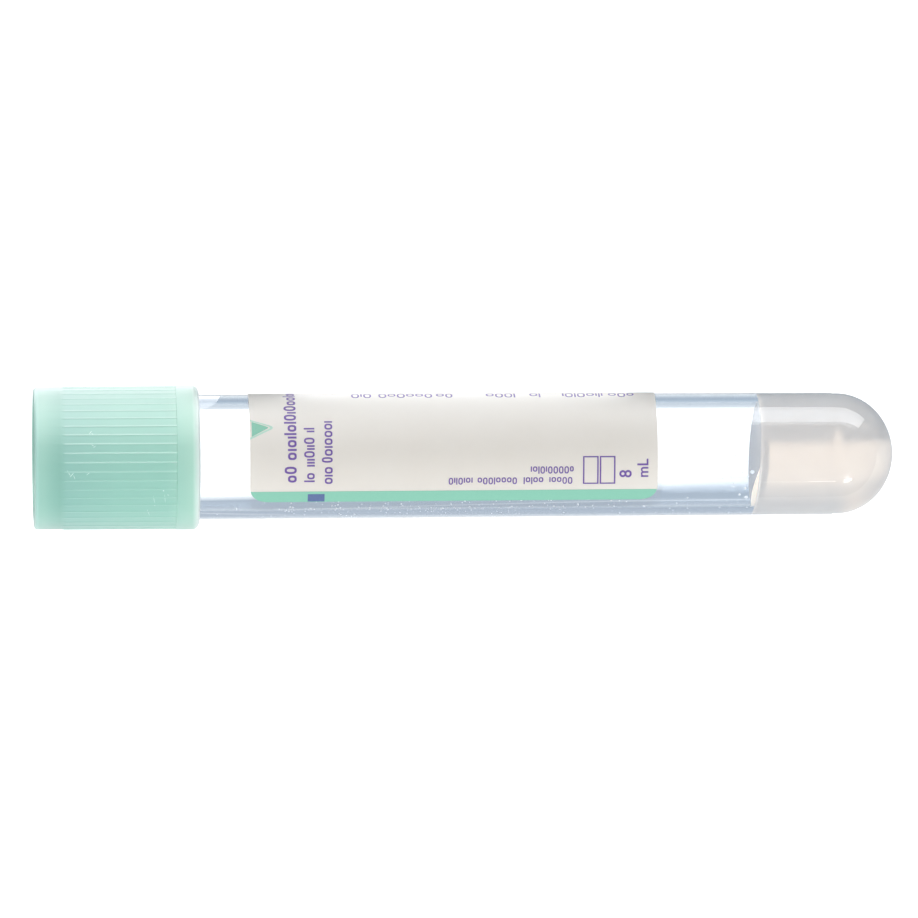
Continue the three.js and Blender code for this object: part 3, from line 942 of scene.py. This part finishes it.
floor_mesh = bpy.data.meshes.new("table")
half = 0.6
floor_corners = [(-half, -half, 0), (half, -half, 0), (half, half, 0), (-half, half, 0)]
floor_mesh.from_pydata(floor_corners, [], [(0, 1, 2, 3)])
floor = bpy.data.objects.new("table", floor_mesh)
bpy.context.scene.collection.objects.link(floor)
floor.location.z = FLOOR_LEVEL


def once_matt(nodes, links, path):
    """1 once the light has left a matt surface."""
    scattered = nodes.new("ShaderNodeMath")
    scattered.operation = "GREATER_THAN"
    scattered.inputs[1].default_value = 0.5
    links.new(path.outputs["Diffuse Depth"], scattered.inputs[0])
    return scattered.outputs["Value"]


table_white = bpy.data.materials.new("table_white")
table_white.use_nodes = True
nodes, links = table_white.node_tree.nodes, table_white.node_tree.links
nodes.clear()
output = nodes.new("ShaderNodeOutputMaterial")
lit = nodes.new("ShaderNodeBsdfDiffuse")
lit.inputs["Color"].default_value = (0.8, 0.8, 0.8, 1)
bright = nodes.new("ShaderNodeEmission")
bright.inputs["Color"].default_value = (1, 1, 1, 1)
bright.inputs["Strength"].default_value = 0.65
shown = nodes.new("ShaderNodeAddShader")
links.new(lit.outputs["BSDF"], shown.inputs[0])
links.new(bright.outputs["Emission"], shown.inputs[1])
mirrored = nodes.new("ShaderNodeEmission")    # what shiny plastic mirrors of it, paler on the front side
where = nodes.new("ShaderNodeTexCoord")
sides = nodes.new("ShaderNodeSeparateXYZ")
links.new(where.outputs["Object"], sides.inputs["Vector"])
frontness = ramped(nodes, links, sides.outputs["Y"], 0.01, -0.01)
mirror_tone = nodes.new("ShaderNodeMix")
mirror_tone.data_type = "RGBA"
mirror_tone.inputs["A"].default_value = (0.30, 0.36, 0.42, 1)
mirror_tone.inputs["B"].default_value = (0.92, 0.94, 0.97, 1)
links.new(frontness.outputs["Result"], mirror_tone.inputs["Factor"])
links.new(mirror_tone.outputs["Result"], mirrored.inputs["Color"])
path = nodes.new("ShaderNodeLightPath")
clear_glass = nodes.new("ShaderNodeBsdfTransparent")
table_face = chosen(nodes, links, lit.outputs["BSDF"], [
    (path.outputs["Is Camera Ray"], shown.outputs["Shader"]),
    (path.outputs["Is Glossy Ray"], mirrored.outputs["Emission"]),
    (path.outputs["Is Transmission Ray"], clear_glass.outputs["BSDF"]),
    (once_matt(nodes, links, path), lit.outputs["BSDF"]),
])
links.new(table_face, output.inputs["Surface"])
floor_mesh.materials.append(table_white)

# The lit panel under the glass, which only the clear plastic and the gel look through to. Its light falls
# off towards its edges: steeply at the front one, which runs askew, and slowly at the back.
PANEL_DEPTH = 110 * MM
FRONT_FALL = ((0, 0), (1, 0.08), (2.2, 0.25), (4.3, 0.5), (6, 0.68), (8, 0.85), (11, 1))
BACK_FALL = ((31, 1), (34, 0.72), (38, 0.52), (45, 0.42), (54, 0.32), (63, 0.18), (80, 0.06), (100, 0))
panel_points, panel_light = [], []
PANEL_COLUMNS = (    # station from the middle, front edge, how gradual its fall is, and brightness
    (-160, -46.7, 1, 0), (-140, -43.5, 1, 1), (45, -14.3, 1, 1),
    (53, -37, 2.45, 1), (64, -37, 2.45, 1), (80, -37, 2.45, 0),
)
for x, front_edge, gradual, share in PANEL_COLUMNS:
    for y, light in [(front_edge + step * gradual, light) for step, light in FRONT_FALL] + list(BACK_FALL):
        panel_points.append((x * MM, y * MM, -PANEL_DEPTH))
        panel_light.append(light * share)
panel_rows = len(FRONT_FALL) + len(BACK_FALL)
panel_faces = sheet_faces(panel_rows, len(PANEL_COLUMNS))
GAP = (    # the light line beyond its front edge, a gap that curves away: place, and reach to each side
    (47, -31, 2.5), (35, -33, 2.5), (18, -34.5, 2.5), (11, -36.5, 2.5), (5, -39.5, 3), (-2, -43.5, 3),
    (-8, -49, 4), (-14.5, -57, 5), (-21, -67, 7), (-26, -85, 10), (-32, -115, 15),
)
panel_faces += sheet_faces(3, len(GAP), len(panel_points))
for x, y, reach in GAP:
    for aside, light in ((-reach, 0), (0, 0.36), (reach, 0)):
        panel_points.append((x * MM, (y + aside) * MM, -PANEL_DEPTH))
        panel_light.append(light)
panel_mesh = bpy.data.meshes.new("light_panel")
panel_mesh.from_pydata(panel_points, [], panel_faces)
falling_light = panel_mesh.attributes.new("light", "FLOAT", "POINT")
for i, light in enumerate(panel_light):
    falling_light.data[i].value = light
panel = bpy.data.objects.new("light_panel", panel_mesh)
bpy.context.scene.collection.objects.link(panel)
panel.visible_camera = panel.visible_diffuse = panel.visible_glossy = panel.visible_shadow = False
glow = bpy.data.materials.new("panel_glow")
glow.use_nodes = True
nodes, links = glow.node_tree.nodes, glow.node_tree.links
nodes.clear()
lit_panel = nodes.new("ShaderNodeEmission")
lit_panel.inputs["Color"].default_value = (1, 0.965, 0.93, 1)
lit_panel.inputs["Strength"].default_value = 1.57
unlit = nodes.new("ShaderNodeEmission")
unlit.inputs["Color"].default_value = (0.46, 0.52, 0.595, 1)
light_there = nodes.new("ShaderNodeAttribute")
light_there.attribute_name = "light"
mixed = nodes.new("ShaderNodeMixShader")
links.new(light_there.outputs["Fac"], mixed.inputs["Fac"])
links.new(unlit.outputs["Emission"], mixed.inputs[1])
links.new(lit_panel.outputs["Emission"], mixed.inputs[2])
links.new(mixed.outputs["Shader"], nodes.new("ShaderNodeOutputMaterial").inputs["Surface"])
panel_mesh.materials.append(glow)

world = bpy.data.worlds.new("tent")
world.use_nodes = True
bpy.context.scene.world = world
nodes, links = world.node_tree.nodes, world.node_tree.links
tent = nodes["Background"]
tent.inputs["Strength"].default_value = 1
paper_white = nodes.new("ShaderNodeBackground")
paper_white.inputs["Color"].default_value = (1, 1, 1, 1)
path = nodes.new("ShaderNodeLightPath")
where = nodes.new("ShaderNodeTexCoord")
heading = nodes.new("ShaderNodeSeparateXYZ")
links.new(where.outputs["Generated"], heading.inputs["Vector"])
sideways = nodes.new("ShaderNodeMapRange")
sideways.inputs["From Min"].default_value = -1
links.new(heading.outputs["Y"], sideways.inputs["Value"])
tent_sides = nodes.new("ShaderNodeValToRGB")    # brighter towards the front, dark behind
for element, position, level in zip(tent_sides.color_ramp.elements, (0, 1), (1.1, 0.05)):
    element.position = position
    element.color = (0.96 * level, 0.98 * level, level, 1)
for position, level in ((0.35, 0.98), (0.5, 0.96), (0.6, 0.8), (0.72, 0.5), (0.82, 0.2), (0.92, 0.05)):
    tent_sides.color_ramp.elements.new(position).color = (0.96 * level, 0.98 * level, level, 1)
links.new(sideways.outputs["Result"], tent_sides.inputs["Fac"])
links.new(tent_sides.outputs["Color"], tent.inputs["Color"])
around_room = nodes.new("ShaderNodeValToRGB")    # the room under the table is dim, its walls are not
around_room.color_ramp.elements[0].position = 0.0
around_room.color_ramp.elements[0].color = (0.85, 0.9, 0.95, 1)
around_room.color_ramp.elements[1].position = 0.86
around_room.color_ramp.elements[1].color = (0.62, 0.7, 0.78, 1)
for place_there in (0.03, 0.81):
    around_room.color_ramp.elements.new(place_there).color = (0.46, 0.52, 0.595, 1)
links.new(sideways.outputs["Result"], around_room.inputs["Fac"])
room = nodes.new("ShaderNodeBackground")
links.new(around_room.outputs["Color"], room.inputs["Color"])
dim = nodes.new("ShaderNodeBackground")
dim.inputs["Color"].default_value = (0.28, 0.32, 0.36, 1)
surroundings = chosen(nodes, links, tent.outputs["Background"], [
    (path.outputs["Is Glossy Ray"], dim.outputs["Background"]),
    (path.outputs["Is Transmission Ray"], room.outputs["Background"]),
    (once_matt(nodes, links, path), tent.outputs["Background"]),
    (path.outputs["Is Camera Ray"], paper_white.outputs["Background"]),
])
links.new(surroundings, nodes["World Output"].inputs["Surface"])


def softbox(name, at, aim, size, brightness):
    """A rectangular lamp of an even surface brightness, turned to face a point."""
    lamp = bpy.data.lights.new(name, "AREA")
    lamp.shape = "RECTANGLE"
    lamp.size, lamp.size_y = size
    lamp.energy = brightness * math.pi * size[0] * size[1]
    holder = bpy.data.objects.new(name, lamp)
    holder.location = at
    holder.rotation_mode = "QUATERNION"
    holder.rotation_quaternion = (Vector(aim) - Vector(at)).to_track_quat("-Z", "Y")
    holder.visible_camera = False
    bpy.context.scene.collection.objects.link(holder)
    return holder


back = softbox("back_softbox", (-0.05, 0.075, 0.025), (-0.05, 0, 0.025), (0.34, 0.05), 2.7)
back.visible_diffuse = False
above = softbox("back_softbox_upper", (-0.06, 0.07, 0.08), (-0.06, 0, 0.01), (0.176, 0.06), 1.9)
above.visible_diffuse = above.visible_transmission = False
top = softbox("top_softbox", (0, 0.08, 0.8), (0, 0, 0), (0.5, 0.4), 3.2)
top.visible_glossy = top.visible_transmission = False
fill = softbox("front_fill", (0.03, -0.5, 0.2), (0.03, 0, 0.01), (0.7, 0.3), 0.25)
fill.visible_glossy = fill.visible_transmission = False
softbox("front_strip_start", (0.1335, -0.42, 0.3), (0.1335, 0, 0), (0.015, 0.012), 0.8)
softbox("front_strip", (0.1515, -0.42, 0.3), (0.1515, 0, 0), (0.021, 0.016), 3.0)
softbox("front_strip_end", (0.236, -0.42, 0.3), (0.236, 0, 0), (0.15, 0.06), 8.0)
card = softbox("card_by_the_cap", (-0.0545, 0.043, 0.0005), (-0.0545, 0.043, 0.2), (0.047, 0.062), 2.2)
card.visible_diffuse = card.visible_transmission = False
card = softbox("card_by_the_label", (0, 0.043, 0.0005), (0, 0.043, 0.2), (0.044, 0.062), 2.6)
card.visible_diffuse = card.visible_transmission = False

CAMERA_DISTANCE = 1.8
CAMERA_AHEAD = 38 * MM        # beyond the cap's top face
VIEW_WIDTH = 117.88 * MM      # what the frame takes in at the tube's axis
VIEW_CENTRE = (54.62 * MM, -0.41 * MM)
VIEW_ROLL = math.radians(-0.36)
SENSOR_WIDTH = 36
view = bpy.data.cameras.new("camera")
camera = bpy.data.objects.new("camera", view)
bpy.context.scene.collection.objects.link(camera)
bpy.context.scene.camera = camera
eye = place @ Vector((-CAMERA_AHEAD, VIEW_CENTRE[1], CAMERA_DISTANCE))
target = place @ Vector((VIEW_CENTRE[0], VIEW_CENTRE[1], 0))
look = (target - eye).normalized()
right = look.cross(Vector((0, 1, 0))).normalized()
up = right.cross(look)
turn = Matrix((right, up, -look)).transposed().to_4x4()
camera.matrix_world = Matrix.Translation(eye) @ turn @ Matrix.Rotation(VIEW_ROLL, 4, "Z")
view.sensor_width = SENSOR_WIDTH
view.lens = SENSOR_WIDTH * (target - eye).length / VIEW_WIDTH
view.clip_start, view.clip_end = 0.1, 10
bpy.context.scene.view_settings.view_transform = "Standard"
